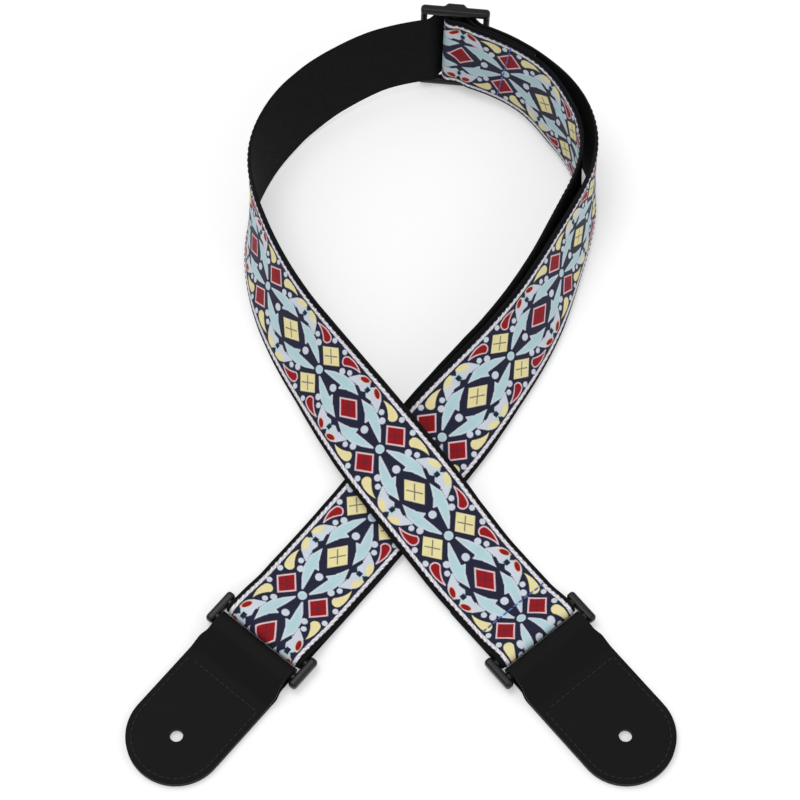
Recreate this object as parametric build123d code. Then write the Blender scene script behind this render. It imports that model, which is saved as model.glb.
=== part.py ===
"""Guitar strap, lying on a floor in one loop that crosses over itself.

One length of webbing with a ribbon sewn on its face starts in a fold round the right ring, runs
once round the loop through the tri-glide slider, turns round the left ring and comes back inside
itself to the slider's middle bar, where its end is folded and stitched. Each ring carries a
leather end tab with a strap-pin hole. Millimetres, +Z up, floor at z = 0, the origin under the
middle of the whole strap's box.
"""
from build123d import *
import os

import numpy as np

os.makedirs("parts", exist_ok=True)

# ---------------------------------------------------------------- driving dimensions
STRAP_WIDTH = 50.8
WEBBING_THICKNESS = 1.5
RIBBON_WIDTH = 46.0
RIBBON_THICKNESS = 0.7
LAYER_GAP = 0.3            # air between two layers that lie on each other
HINGE_PLAY = 0.3           # air between a bar and the fold that turns on it

RING_BAR_DIAMETER = 5.0
RING_GAP = 0.35            # air between the strap's fold and the tab's fold inside a ring
RING_LENGTH = 19.6         # of its side rails, along the strap
RAIL_WIDTH = 4.9           # of a ring's side rails
RAIL_THICKNESS = 5.6
SIDE_PLAY = 0.7            # between the strap's edge and a ring's rail
RAIL_EDGE = 1.8

SLIDER_LENGTH = 38.4
SLIDER_RAIL_WIDTH = 4.4
SLIDER_SIDE_PLAY = 1.2
SLIDER_END_BAR_DIAMETER = 3.6
SLIDER_END_BAR_RISE = 1.5  # how far the end bars stand outside the middle bar's level
SLIDER_MIDDLE_BAR = (7.0, 3.0)   # its oval section, along the strap and through it
SLIDER_RAIL_INNER = -1.9   # the rail's two long sides, measured from the middle bar's axis
SLIDER_RAIL_OUTER = 3.5
SLIDER_HUMP_OUTER = 5.8
SLIDER_HUMP_LENGTH = 12.0
SLIDER_TILT = 4.0          # degrees that the threaded slider can rock each way

LEATHER_THICKNESS = 1.8
TAB_WIDTH = 53.0
TAB_NECK_WIDTH = 50.0
TAB_HOLE_DIAMETER = 7.0
TAB_HOLE_FROM_BAR = 62.4
TAB_SHOULDER_START = 8.0   # along the tab from the ring's bar
TAB_SHOULDER_LENGTH = 7.0
TAB_EYE_LENGTH = 21.0      # where the two leather layers meet

FOLD_TAIL = 38.0           # the sewn-down end at the right ring, from the bar's axis
FOLD_STITCH = 19.0
SLIDER_TAIL = 47.0         # the same at the slider's middle bar
SLIDER_STITCH = 33.0

THREAD_WIDTH = 0.8
THREAD_HEIGHT = 0.4
STITCH_LENGTH = 2.6
STITCH_PITCH = 3.6
TAB_STITCH_INSET = 3.0
CROSS_STITCH_FROM_BAR = 26.0

# ---------------------------------------------------------------- where the strap lies
RIGHT_RING_AT = (73.5, -140.0)
LEFT_RING_AT = (-72.5, -140.0)
RIGHT_HEADING = -50.0      # degrees, from the strap towards each tab
LEFT_HEADING = -130.0
LEAD = 42.0                # straight stretch of strap beside each ring

# The strap's middle line from the right ring's lead to the left ring's lead: x, y, how far its
# lower edge stands off the floor, and its lean, where 0 lies face up, 90 stands on its edge and
# more leans outwards.
ROUTE = [
    (15.0, -68.5, 6.7, 7), (-13.3, -33.0, 7.1, 25), (-39.5, 4.4, 2.4, 44), (-63.8, 43.0, 0.3, 59),
    (-79.0, 86.0, 0.2, 76), (-78.0, 131.0, 0.4, 98), (-53.6, 169.0, 1.7, 105),
    (-14.5, 193.3, 4.9, 102), (30.0, 202.0, 6.4, 101), (68.0, 186.2, 4.7, 101),
    (96.8, 159.0, 1.5, 99), (106.5, 121.0, 0.4, 87), (92.5, 78.0, 0.8, 72), (72.5, 37.0, 1.0, 58),
    (46.0, 0.5, 1.4, 42), (16.5, -34.0, 2.0, 17), (-13.5, -69.5, 2.5, 2),
]
SLIDER_STATION = 8         # the slider stands at this row of the route

# How the return run lies against the outer run: distance past the slider, how far inside the
# outer run's middle it lies, and how far it stands above it.
RETURN_RUN = [
    (82, 8.2, 0.5), (145, 6.6, 1.2), (190, 4.2, 1.7), (300, 2.7, 1.8), (350, 1.8, 0.5),
    (380, 1.8, 0.0),
]

# ---------------------------------------------------------------- sizes that follow
HALF_WIDTH = STRAP_WIDTH / 2
HALF_WEB = WEBBING_THICKNESS / 2
FACE = HALF_WEB + RIBBON_THICKNESS                 # from the webbing's middle to the ribbon's face
RING_FOLD = RING_BAR_DIAMETER / 2 + HINGE_PLAY + HALF_WEB
RING_HEIGHT = RING_FOLD + FACE                     # the fold under the bar touches the floor
RING_BAR_SPACING = RING_HEIGHT + RING_BAR_DIAMETER / 2 + HINGE_PLAY + LEATHER_THICKNESS + RING_GAP
HALF_OPENING = HALF_WIDTH + SIDE_PLAY
SLIDER_HALF_OPENING = HALF_WIDTH + SLIDER_SIDE_PLAY
BACK_TO_BACK = WEBBING_THICKNESS + LAYER_GAP       # two runs with their backs together
BACK_TO_FACE = HALF_WEB + FACE + LAYER_GAP
SLIDER_FOLD = SLIDER_MIDDLE_BAR[1] / 2 + 0.7 + HALF_WEB
SLIDER_FOLD_CENTRE = 0.45 * SLIDER_MIDDLE_BAR[0] / 2
SLIDER_END_BAR_AT = SLIDER_LENGTH / 2 - SLIDER_END_BAR_DIAMETER / 2 - 0.1
TILT_ROOM = SLIDER_END_BAR_AT * np.sin(np.radians(SLIDER_TILT)) + LAYER_GAP
CREST = SLIDER_FOLD + FACE + HALF_WEB + 2 * LAYER_GAP
UNDER_END_BAR = SLIDER_END_BAR_RISE - SLIDER_END_BAR_DIAMETER / 2 - TILT_ROOM - FACE
LEFT_RUN_HEIGHT = FACE + BACK_TO_BACK              # outer run on top of the return run


def ease(x, knots):
    """A smooth value through (x, value) knots, level at each knot and beyond the ends."""
    xs = [k[0] for k in knots]
    i = int(np.clip(np.searchsorted(xs, x) - 1, 0, len(knots) - 2))
    t = float(np.clip((x - xs[i]) / (xs[i + 1] - xs[i]), 0, 1))
    return knots[i][1] + (knots[i + 1][1] - knots[i][1]) * t * t * (3 - 2 * t)


def unit(v):
    return v / np.linalg.norm(v)


def heading(degrees):
    return np.array([np.cos(np.radians(degrees)), np.sin(np.radians(degrees)), 0.0])


# ---------------------------------------------------------------- the route of the strap
RIGHT_BAR = np.array([*RIGHT_RING_AT, RING_HEIGHT]) - heading(RIGHT_HEADING) * RING_BAR_SPACING / 2
LEFT_BAR = np.array([*LEFT_RING_AT, RING_HEIGHT]) - heading(LEFT_HEADING) * RING_BAR_SPACING / 2


def smooth_route():
    """The cubic curve through the route's rows, held in line with the straight leads."""
    rows = []
    for x, y, lift, lean in ROUTE:
        angle = np.radians(lean)
        height = HALF_WIDTH * np.sin(angle) + HALF_WEB * abs(np.cos(angle)) + lift
        rows.append((x, y, height, lean))
    first = (*(RIGHT_BAR - heading(RIGHT_HEADING) * LEAD)[:2], FACE + BACK_TO_BACK, 0)
    last = (*(LEFT_BAR - heading(LEFT_HEADING) * LEAD)[:2], LEFT_RUN_HEIGHT, 0)
    points = np.array([first, *rows, last], float)
    count = len(points)
    start_slope = np.array([*(-heading(RIGHT_HEADING)), 0]) * np.linalg.norm((points[1] - points[0])[:3])
    end_slope = np.array([*heading(LEFT_HEADING), 0]) * np.linalg.norm((points[-1] - points[-2])[:3])
    matrix = np.zeros((count, count))
    right = np.zeros((count, 4))
    matrix[0, 0] = matrix[-1, -1] = 1
    right[0], right[-1] = start_slope, end_slope
    for i in range(1, count - 1):
        matrix[i, i - 1:i + 2] = 1, 4, 1
        right[i] = 3 * (points[i + 1] - points[i - 1])
    return points, np.linalg.solve(matrix, right)


POINTS, SLOPES = smooth_route()


def route_value(u):
    """x, y, z and lean at u, which counts the route's rows from the right lead's end."""
    i = int(np.clip(np.floor(u), 0, len(POINTS) - 2))
    t = u - i
    return ((2 * t**3 - 3 * t**2 + 1) * POINTS[i] + (t**3 - 2 * t**2 + t) * SLOPES[i]
            + (3 * t**2 - 2 * t**3) * POINTS[i + 1] + (t**3 - t**2) * SLOPES[i + 1])


class Station:
    """A place on the strap: its middle point, its run, its outer edge's side and its face."""

    def __init__(self, point, along, across, past_slider=0.0, backwards=False):
        self.past_slider = past_slider
        self.backwards = backwards     # facets are split the same way as in the run beside it
        self.point = np.array(point, float)
        self.along = unit(np.array(along, float))
        self.across = unit(across - self.along * np.dot(across, self.along))
        self.face = np.cross(self.along, self.across)

    def at(self, sideways=0.0, outwards=0.0):
        return self.point + self.across * sideways + self.face * outwards


def base_station(u):
    """The route at u, before the runs part from it."""
    value = route_value(u)
    along = unit((route_value(u + 1e-4) - route_value(u - 1e-4))[:3])
    level = unit(np.cross([0, 0, 1], along))
    lean = np.radians(value[3])
    return Station(value[:3], along, np.cos(lean) * level - np.sin(lean) * np.cross(along, level))


def spaced(step, near_slider_step, near):
    """Route parameters at even steps of length, closer together near the slider."""
    fine = np.linspace(0, len(POINTS) - 1, 4000)
    places = np.array([route_value(u)[:3] for u in fine])
    length = np.concatenate([[0], np.cumsum(np.linalg.norm(np.diff(places, axis=0), axis=1))])
    middle = np.interp(SLIDER_STATION + 1, fine, length)
    before = np.linspace(0, middle - near, int((middle - near) / step) + 1)
    beside = np.linspace(middle - near, middle + near, int(2 * near / near_slider_step) + 1)
    after = np.linspace(middle + near, length[-1], int((length[-1] - middle - near) / step) + 1)
    along = np.concatenate([before, beside[1:], after[1:]])
    return np.interp(along, length, fine), along - middle


PARAMETERS, PAST_SLIDER = spaced(13.0, 3.0, 54.0)
BASE = [base_station(u) for u in PARAMETERS]
SLIDER = base_station(SLIDER_STATION + 1)


def end_bar_level(side):
    """How far outside the smooth route the strap lies under the end bar on that side."""
    inner_side = side * (SLIDER_END_BAR_AT - SLIDER_END_BAR_DIAMETER / 2)
    dips = [np.dot(SLIDER.point - s.point, SLIDER.face) for s in BASE]
    return UNDER_END_BAR + float(np.interp(inner_side, PAST_SLIDER, dips))


BEFORE_LEVEL, AFTER_LEVEL = end_bar_level(-1), end_bar_level(1)
FLAT_FROM = SLIDER_END_BAR_AT - 3.0
OUTER_OFFSET = [(-45, 0), (-SLIDER_END_BAR_AT, BEFORE_LEVEL), (-FLAT_FROM, BEFORE_LEVEL), (-4.5, CREST),
                (3.0, CREST), (FLAT_FROM, AFTER_LEVEL), (SLIDER_END_BAR_AT, AFTER_LEVEL), (45, 0)]


def outer_offset(x):
    return ease(x, OUTER_OFFSET)


def tail_offset(x):
    """The slider's sewn tail, between the outer run and the return run."""
    if x < SLIDER_END_BAR_AT:
        return ease(x, [(0.5, SLIDER_FOLD), (FLAT_FROM, AFTER_LEVEL - BACK_TO_FACE)])
    return outer_offset(x) - BACK_TO_FACE


def return_offset(x):
    """The return run, negative because it lies inside the outer run."""
    beside_tail = -BACK_TO_FACE - BACK_TO_BACK
    if x < SLIDER_END_BAR_AT:
        return ease(x, [(1.0, -SLIDER_FOLD), (FLAT_FROM, AFTER_LEVEL + beside_tail)])
    if x < 45:
        return outer_offset(x) + beside_tail
    return ease(x, [(SLIDER_TAIL, beside_tail)] + [(far, -inside) for far, inside, _ in RETURN_RUN])


def return_shift(x):
    return ease(x, [(SLIDER_TAIL, 0.0)] + [(far, up) for far, _, up in RETURN_RUN])


def run(offset, keep, shift=lambda x: 0.0, backwards=False):
    """The stations of one run of the strap, moved off the smooth route."""
    chosen = [(s, x) for s, x in zip(BASE, PAST_SLIDER) if keep(x)]
    places = [s.at(-shift(x), offset(x)) for s, x in chosen]
    if backwards:
        chosen, places = chosen[::-1], places[::-1]
    stations = []
    for i, (s, x) in enumerate(chosen):
        before, after = places[max(i - 1, 0)], places[min(i + 1, len(places) - 1)]
        along = after - before
        if i in (0, len(chosen) - 1):
            along = s.along * (-1 if backwards else 1)
        stations.append(Station(places[i], along, s.across, x, backwards))
    return stations


def lead(bar, direction, across, heights, reverse):
    """The straight stretch beside a ring, from the bar outwards, or towards it if reversed."""
    steps = np.linspace(0, LEAD, 13)[1:-1]
    stations = []
    for d in steps:
        rise = (ease(d + 0.01, heights) - ease(d - 0.01, heights)) / 0.02
        along = direction + np.array([0, 0, rise])
        place = bar + direction * d
        place[2] = ease(d, heights)
        stations.append(Station(place, -along if reverse else along, across))
    return stations[::-1] if reverse else stations


def half_turn(centre, first, axis_across, radius, facets=10):
    """A fold round a bar: it starts at the face side named first and turns half way round."""
    start = unit(first)
    other = np.cross(axis_across, start)
    stations = []
    for angle in np.linspace(0, np.pi, facets + 1):
        outwards = np.cos(angle) * start + np.sin(angle) * other
        stations.append(Station(centre + outwards * radius, np.cross(axis_across, outwards), axis_across))
    return stations


UP = np.array([0.0, 0.0, 1.0])
RIGHT_ACROSS = np.cross(UP, -heading(RIGHT_HEADING))
LEFT_ACROSS = np.cross(UP, heading(LEFT_HEADING))
TOP = RING_HEIGHT + RING_FOLD
FLAT_ON_TAIL = FACE + BACK_TO_BACK


def right_end():
    """The sewn tail under the strap, the fold round the right ring and the lead above it."""
    back = -heading(RIGHT_HEADING)
    tail = [Station([*(RIGHT_BAR + back * d)[:2], FACE], -back, RIGHT_ACROSS)
            for d in np.linspace(FOLD_TAIL, 0, 11)[:-1]]
    fold = half_turn(RIGHT_BAR, -UP, RIGHT_ACROSS, RING_FOLD)
    above = lead(RIGHT_BAR, back, RIGHT_ACROSS, [(0, TOP), (FOLD_STITCH - 2, FLAT_ON_TAIL)], False)
    return tail + fold + above


def left_end():
    """The outer run's lead, the fold round the left ring and the return run's lead under it."""
    back = -heading(LEFT_HEADING)
    above = lead(LEFT_BAR, back, LEFT_ACROSS, [(0, TOP), (27, LEFT_RUN_HEIGHT)], True)
    fold = half_turn(LEFT_BAR, UP, LEFT_ACROSS, RING_FOLD)
    below = lead(LEFT_BAR, back, LEFT_ACROSS, [(0, FACE), (27, FACE)], False)
    return above + fold + below


def slider_end():
    """The fold of the strap's end round the slider's middle bar."""
    centre = SLIDER.point - SLIDER.along * SLIDER_FOLD_CENTRE
    return half_turn(centre, -SLIDER.face, SLIDER.across, SLIDER_FOLD)


OUTER_RUN = run(outer_offset, lambda x: True)
RETURN = run(return_offset, lambda x: x > 0, return_shift, backwards=True)
TAIL = run(tail_offset, lambda x: 0 < x < SLIDER_TAIL)
STRAP = right_end() + OUTER_RUN + left_end() + RETURN + slider_end() + TAIL


# ---------------------------------------------------------------- soft bands as solids
def flat_faces(corners, split_first):
    """One face where the four corners lie in a plane, or else two triangles."""
    a, b, c, d = corners
    normal = np.cross(b - a, c - a)
    if abs(np.dot(d - a, normal)) < 1e-6 * np.linalg.norm(normal):
        return [corners]
    if split_first:
        return [(a, b, c), (a, c, d)]
    return [(a, b, d), (b, c, d)]


def polygon(points):
    return make_face(Polyline(*[tuple(p) for p in points], close=True))


def band(stations, section):
    """A solid whose section, a list of (sideways, outwards) corners, follows the stations."""
    rings = [[s.at(*corner) for corner in section] for s in stations]
    outlines = [rings[0][::-1], rings[-1]]
    for here, there, backwards in zip(rings, rings[1:], [s.backwards for s in stations]):
        for i in range(len(section)):
            j = (i + 1) % len(section)
            split_first = (section[i][0] <= section[j][0]) != backwards
            outlines += flat_faces((here[i], here[j], there[j], there[i]), split_first)
    return Solid(Shell([polygon(outline).face() for outline in outlines]))


def webbing():
    w, r, t = HALF_WIDTH, RIBBON_WIDTH / 2, HALF_WEB
    return band(STRAP, [(-w, -t), (w, -t), (w, t), (r, t), (-r, t), (-w, t)])


def jacquard_ribbon():
    r = RIBBON_WIDTH / 2
    return band(STRAP, [(-r, HALF_WEB), (r, HALF_WEB), (r, FACE), (-r, FACE)])


# ---------------------------------------------------------------- rings, slider and tabs
def plane_at(point, x_axis, z_axis):
    return Plane(origin=tuple(point), x_dir=tuple(x_axis), z_dir=tuple(z_axis))


def rail_pair(profile, half_opening, width, rounding):
    """Two side rails: a profile through the strap's thickness, one each side of the opening."""
    outer = extrude(Plane.XZ.offset(half_opening) * profile, width)
    outer = fillet(outer.edges(), rounding)
    return [outer, mirror(outer, Plane.XZ)]


def ring(centre, towards_tab):
    """A moulded ring: two round bars between two rails, its middle at the centre."""
    profile = RectangleRounded(RING_LENGTH, RAIL_THICKNESS, RAIL_THICKNESS * 0.35)
    rails = rail_pair(profile, HALF_OPENING, RAIL_WIDTH, RAIL_EDGE)
    body = rails[0] + rails[1]
    for side in (-1, 1):
        bar = Cylinder(RING_BAR_DIAMETER / 2, 2 * HALF_OPENING + RAIL_WIDTH, rotation=(90, 0, 0))
        body += Pos(side * RING_BAR_SPACING / 2, 0, 0) * bar
    return plane_at(centre, towards_tab, UP) * body


def triglide_slider():
    """Three bars between two rails; the rails stand higher where the middle bar is."""
    middle = (SLIDER_RAIL_INNER + SLIDER_RAIL_OUTER) / 2
    blank = Pos(0, middle) * RectangleRounded(SLIDER_LENGTH, SLIDER_RAIL_OUTER - SLIDER_RAIL_INNER, 2.2)
    hump_height = SLIDER_HUMP_OUTER - middle
    hump = Pos(0, middle + hump_height / 2) * Trapezoid(SLIDER_HUMP_LENGTH + 5, hump_height, 52)
    rails = rail_pair(blank + hump, SLIDER_HALF_OPENING, SLIDER_RAIL_WIDTH, RAIL_EDGE)
    body = rails[0] + rails[1]
    span = 2 * SLIDER_HALF_OPENING + SLIDER_RAIL_WIDTH
    for side in (-1, 1):
        bar = Cylinder(SLIDER_END_BAR_DIAMETER / 2, span, rotation=(90, 0, 0))
        body += Pos(side * SLIDER_END_BAR_AT, 0, SLIDER_END_BAR_RISE) * bar
    oval = Plane.XZ * Ellipse(SLIDER_MIDDLE_BAR[0] / 2, SLIDER_MIDDLE_BAR[1] / 2)
    body += extrude(oval, span / 2, both=True)
    return plane_at(SLIDER.point, SLIDER.along, SLIDER.face) * body


def tab_outline(inset=0.0):
    """The tab seen from above, from the ring's bar along +X: neck, shoulders and round end."""
    neck, half = TAB_NECK_WIDTH / 2 - inset, TAB_WIDTH / 2 - inset
    shoulder = TAB_SHOULDER_START + TAB_SHOULDER_LENGTH
    start = -RING_BAR_SPACING
    side = Line((shoulder, half), (TAB_HOLE_FROM_BAR, half))
    top = (Line((start, neck), (TAB_SHOULDER_START, neck))
           + Spline((TAB_SHOULDER_START, neck), (shoulder, half), tangents=[(1, 0), (1, 0)]) + side)
    end = CenterArc((TAB_HOLE_FROM_BAR, 0), half, -90, 180)
    bottom = mirror(top, Plane.XZ)
    close = Line((start, neck), (start, -neck))
    return make_face(top.edges() + end.edges() + bottom.edges() + close.edges())


def tab_leather(bar, towards_tab):
    """One piece of leather folded round the ring's outer bar, its two layers sewn together."""
    inner = RING_BAR_DIAMETER / 2 + HINGE_PLAY
    outer = inner + LEATHER_THICKNESS
    both = 2 * LEATHER_THICKNESS
    low, high = RING_HEIGHT - outer, RING_HEIGHT + outer
    end = TAB_HOLE_FROM_BAR + TAB_WIDTH
    bend = 5.0
    upper = FilletPolyline((0, high), (bend, high), (TAB_EYE_LENGTH, both), (end, both), radius=8)
    lower = Polyline((end, both), (end, 0), (8, 0), (0, low))
    nose = CenterArc((0, RING_HEIGHT), outer, 90, 180)
    side = make_face(upper.edges() + lower.edges() + nose.edges())
    slope = (high - both) / (TAB_EYE_LENGTH - bend)
    drop = LEATHER_THICKNESS * (1 + slope**2) ** 0.5
    eye_top = high - LEATHER_THICKNESS
    eye_bend = bend + (high - drop - eye_top) / slope
    eye_end = bend + (high - drop - LEATHER_THICKNESS) / slope
    eye = Polyline((0, eye_top), (eye_bend, eye_top), (eye_end, LEATHER_THICKNESS),
                   (8, LEATHER_THICKNESS), (0, low + LEATHER_THICKNESS))
    eye_nose = CenterArc((0, RING_HEIGHT), inner, 90, 180)
    side -= make_face(eye.edges() + eye_nose.edges())
    body = extrude(Plane.XZ * side, TAB_WIDTH, both=True) & extrude(tab_outline(), high)
    body -= Pos(TAB_HOLE_FROM_BAR, 0, 0) * Cylinder(TAB_HOLE_DIAMETER / 2, 4 * both)
    return plane_at([bar[0], bar[1], 0], towards_tab, UP) * body


# ---------------------------------------------------------------- stitches
def stitch(place, along, up):
    """One stitch lying on a surface at the place."""
    bar = Pos(0, 0, THREAD_HEIGHT / 2) * Box(STITCH_LENGTH, THREAD_WIDTH, THREAD_HEIGHT)
    bar = chamfer(bar.faces().sort_by(Axis.Z)[-1].edges(), THREAD_HEIGHT * 0.4)
    return plane_at(place, along, up) * bar


def stitch_row(start, end, up):
    """Stitches in a straight row, as many whole ones as fit."""
    length = np.linalg.norm(end - start)
    along = (end - start) / length
    count = int(length // STITCH_PITCH)
    first = (length - (count - 1) * STITCH_PITCH) / 2
    return [stitch(start + along * (first + i * STITCH_PITCH), along, up) for i in range(count)]


def right_fold_stitching():
    line = RIGHT_BAR - heading(RIGHT_HEADING) * FOLD_STITCH
    line[2] = FLAT_ON_TAIL + FACE
    reach = RIGHT_ACROSS * (RIBBON_WIDTH / 2 - 0.5)
    return stitch_row(line - reach, line + reach, UP)


def slider_fold_stitching():
    nearest = min(RETURN, key=lambda s: abs(s.past_slider - SLIDER_STITCH))
    reach = nearest.across * (RIBBON_WIDTH / 2 - 0.5)
    middle = nearest.at(0, FACE + 0.05)
    return stitch_row(middle - reach, middle + reach, nearest.face)


def tab_perimeter_stitching(bar, towards_tab):
    """The row that follows the tab's edge, from one shoulder round the end to the other."""
    half = TAB_WIDTH / 2 - TAB_STITCH_INSET
    straight = TAB_HOLE_FROM_BAR - CROSS_STITCH_FROM_BAR
    arc = np.pi * half
    total = 2 * straight + arc
    count = int(total // STITCH_PITCH)
    stitches = []
    for i in range(count):
        d = (i + 0.5) * total / count
        if d < straight:
            x, y, turn = CROSS_STITCH_FROM_BAR + d, half, 0.0
        elif d < straight + arc:
            turn = -(d - straight) / half
            x, y = TAB_HOLE_FROM_BAR - half * np.sin(turn), half * np.cos(turn)
        else:
            x, y, turn = TAB_HOLE_FROM_BAR - (d - straight - arc), -half, np.pi
        stitches.append(stitch((x, y, 2 * LEATHER_THICKNESS), (np.cos(turn), np.sin(turn), 0), UP))
    place = plane_at([bar[0], bar[1], 0], towards_tab, UP)
    return [place * s for s in stitches]


def tab_cross_stitching(bar, towards_tab):
    half = TAB_WIDTH / 2 - TAB_STITCH_INSET - STITCH_PITCH / 2
    start = np.array([CROSS_STITCH_FROM_BAR, -half, 2 * LEATHER_THICKNESS])
    end = start * [1, -1, 1]
    place = plane_at([bar[0], bar[1], 0], towards_tab, UP)
    return [place * s for s in stitch_row(start, end, UP)]


# ---------------------------------------------------------------- the whole strap
def build():
    nodes = {
        "webbing": [webbing()],
        "jacquard_ribbon": [jacquard_ribbon()],
        "right_fold_stitching": right_fold_stitching(),
        "slider_fold_stitching": slider_fold_stitching(),
        "triglide_slider": [triglide_slider()],
    }
    for side, at, degrees in (("right", RIGHT_RING_AT, RIGHT_HEADING), ("left", LEFT_RING_AT, LEFT_HEADING)):
        centre = np.array([*at, RING_HEIGHT])
        out = heading(degrees)
        bar = centre + out * RING_BAR_SPACING / 2
        nodes[side + "_ring"] = [ring(centre, out)]
        nodes[side + "_tab_leather"] = [tab_leather(bar, out)]
        nodes[side + "_tab_perimeter_stitching"] = tab_perimeter_stitching(bar, out)
        nodes[side + "_tab_cross_stitching"] = tab_cross_stitching(bar, out)
    return nodes


NODES = build()
BOX = Compound(children=[Compound(children=[Compound(s.wrapped) for s in solids])
                         for solids in NODES.values()]).bounding_box()
SHIFT = Pos(-BOX.center().X, -BOX.center().Y, -BOX.min.Z)
for name, solids in NODES.items():
    moved = [SHIFT * solid for solid in solids]
    export_step(Compound(children=moved) if len(moved) > 1 else moved[0], f"parts/{name}.step")
strap_length = sum(np.linalg.norm(b.point - a.point) for a, b in zip(STRAP, STRAP[1:]))
print("whole strap box", BOX.size, "moved by", SHIFT.position)
print("webbing length, flat", round(float(strap_length)), "mm")
lowest = min(min(s.at(v, o)[2] for v in (-HALF_WIDTH, HALF_WIDTH) for o in (-HALF_WEB, HALF_WEB)) for s in STRAP)
print("lowest corner of the webbing", round(float(lowest), 2))
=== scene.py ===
# %% [markdown]
# # A guitar strap in a crossed loop
# A guitar strap is one long band of webbing with a decorative ribbon sewn on it. This lesson dresses
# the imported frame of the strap: the rings, the slider and the leather come from the frame, and the
# soft band, its woven ribbon and all the thread are made here. The finished scene is in metres.

import bpy
import numpy as np
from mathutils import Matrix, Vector


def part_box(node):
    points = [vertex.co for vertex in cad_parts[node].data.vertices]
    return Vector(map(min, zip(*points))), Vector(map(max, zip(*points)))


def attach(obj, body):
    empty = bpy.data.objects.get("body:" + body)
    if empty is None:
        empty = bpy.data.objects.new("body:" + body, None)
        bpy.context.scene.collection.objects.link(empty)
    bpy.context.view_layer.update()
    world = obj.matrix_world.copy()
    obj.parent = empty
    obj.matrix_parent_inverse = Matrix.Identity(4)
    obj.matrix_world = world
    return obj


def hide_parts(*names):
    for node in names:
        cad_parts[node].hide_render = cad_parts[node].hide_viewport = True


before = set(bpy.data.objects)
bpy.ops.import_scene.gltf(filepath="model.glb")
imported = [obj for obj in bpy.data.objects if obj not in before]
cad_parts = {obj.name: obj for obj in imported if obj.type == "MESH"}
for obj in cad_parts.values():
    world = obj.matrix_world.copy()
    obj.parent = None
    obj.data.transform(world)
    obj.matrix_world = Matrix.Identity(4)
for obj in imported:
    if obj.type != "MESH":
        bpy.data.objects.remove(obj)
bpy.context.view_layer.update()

# %% [markdown]
# ## Sizes
# The route below is worked out in millimetres, because webbing and hardware are sold that way. It is
# measured from a point inside the loop, 140 mm from the line through the two rings. One shift, read
# from the right ring of the frame, takes it to the frame's own place, so the band always lies where
# the solids are.

# %% Sizes of the band and of the hardware it passes through
STRAP_WIDTH, WEBBING_THICKNESS = 50.8, 1.5
RIBBON_HALF, RIBBON_THICKNESS = 23.2, 0.7
LAYER_GAP, HINGE_PLAY = 0.3, 0.3
RING_BAR, RING_BAR_SPACING = 5.0, 9.95
SLIDER_LENGTH, END_BAR, END_BAR_RISE, MIDDLE_BAR = 38.4, 3.6, 1.5, (7.0, 3.0)
SLIDER_TILT, SLIDER_SLACK, END_BAR_INSET, FOLD_CENTRE_SHARE = 4.0, 0.7, 0.1, 0.45
FOLD_STITCH, SLIDER_TAIL, FOLD_TAIL, SLIDER_STITCH = 19.0, 47.0, 38.0, 33.0

HALF_WIDTH = STRAP_WIDTH / 2
HALF_WEB = WEBBING_THICKNESS / 2
FACE = HALF_WEB + RIBBON_THICKNESS
RING_FOLD = RING_BAR / 2 + HINGE_PLAY + HALF_WEB
RING_HEIGHT = RING_FOLD + FACE
BACK_TO_BACK = WEBBING_THICKNESS + LAYER_GAP
BACK_TO_FACE = HALF_WEB + FACE + LAYER_GAP
SLIDER_FOLD = MIDDLE_BAR[1] / 2 + SLIDER_SLACK + HALF_WEB
FOLD_CENTRE = FOLD_CENTRE_SHARE * MIDDLE_BAR[0] / 2
END_BAR_AT = SLIDER_LENGTH / 2 - END_BAR / 2 - END_BAR_INSET
TILT_ROOM = END_BAR_AT * np.sin(np.radians(SLIDER_TILT)) + LAYER_GAP
CREST = SLIDER_FOLD + FACE + HALF_WEB + 2 * LAYER_GAP
UNDER_END_BAR = END_BAR_RISE - END_BAR / 2 - TILT_ROOM - FACE
TOP, FLAT_ON_TAIL = RING_HEIGHT + RING_FOLD, FACE + BACK_TO_BACK
print("ring height", RING_HEIGHT, "crest over the slider's bar", round(CREST, 2))

# %% Where the rings lie, and the route between them
UP = np.array([0.0, 0.0, 1.0])
LEAD, LEAD_STEPS = 42.0, 25
RIGHT_AT, LEFT_AT = (73.5, -140.0), (-72.5, -140.0)


def unit(v):
    return v / np.linalg.norm(v)


def heading(degrees):
    return np.array([np.cos(np.radians(degrees)), np.sin(np.radians(degrees)), 0.0])


RIGHT_OUT, LEFT_OUT = heading(-50), heading(-130)
RIGHT_BAR = np.array([*RIGHT_AT, RING_HEIGHT]) - RIGHT_OUT * RING_BAR_SPACING / 2
LEFT_BAR = np.array([*LEFT_AT, RING_HEIGHT]) - LEFT_OUT * RING_BAR_SPACING / 2
RIGHT_ACROSS, LEFT_ACROSS = np.cross(UP, -RIGHT_OUT), np.cross(UP, LEFT_OUT)

# x, y, how far the lower edge stands off the floor, and the lean: 0 is face up, 90 is on edge.
ROUTE = [
    (15.0, -68.5, 6.7, 7), (-13.3, -33.0, 7.1, 25), (-39.5, 4.4, 2.4, 44), (-63.8, 43.0, 0.3, 59),
    (-79.0, 86.0, 0.2, 76), (-78.0, 131.0, 0.4, 98), (-53.6, 169.0, 1.7, 105),
    (-14.5, 193.3, 4.9, 102), (30.0, 202.0, 6.4, 101), (68.0, 186.2, 4.7, 101),
    (96.8, 159.0, 1.5, 99), (106.5, 121.0, 0.4, 87), (92.5, 78.0, 0.8, 72), (72.5, 37.0, 1.0, 58),
    (46.0, 0.5, 1.4, 42), (16.5, -34.0, 2.0, 17), (-13.5, -69.5, 2.5, 2),
]
SLIDER_ROW = 8
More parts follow.
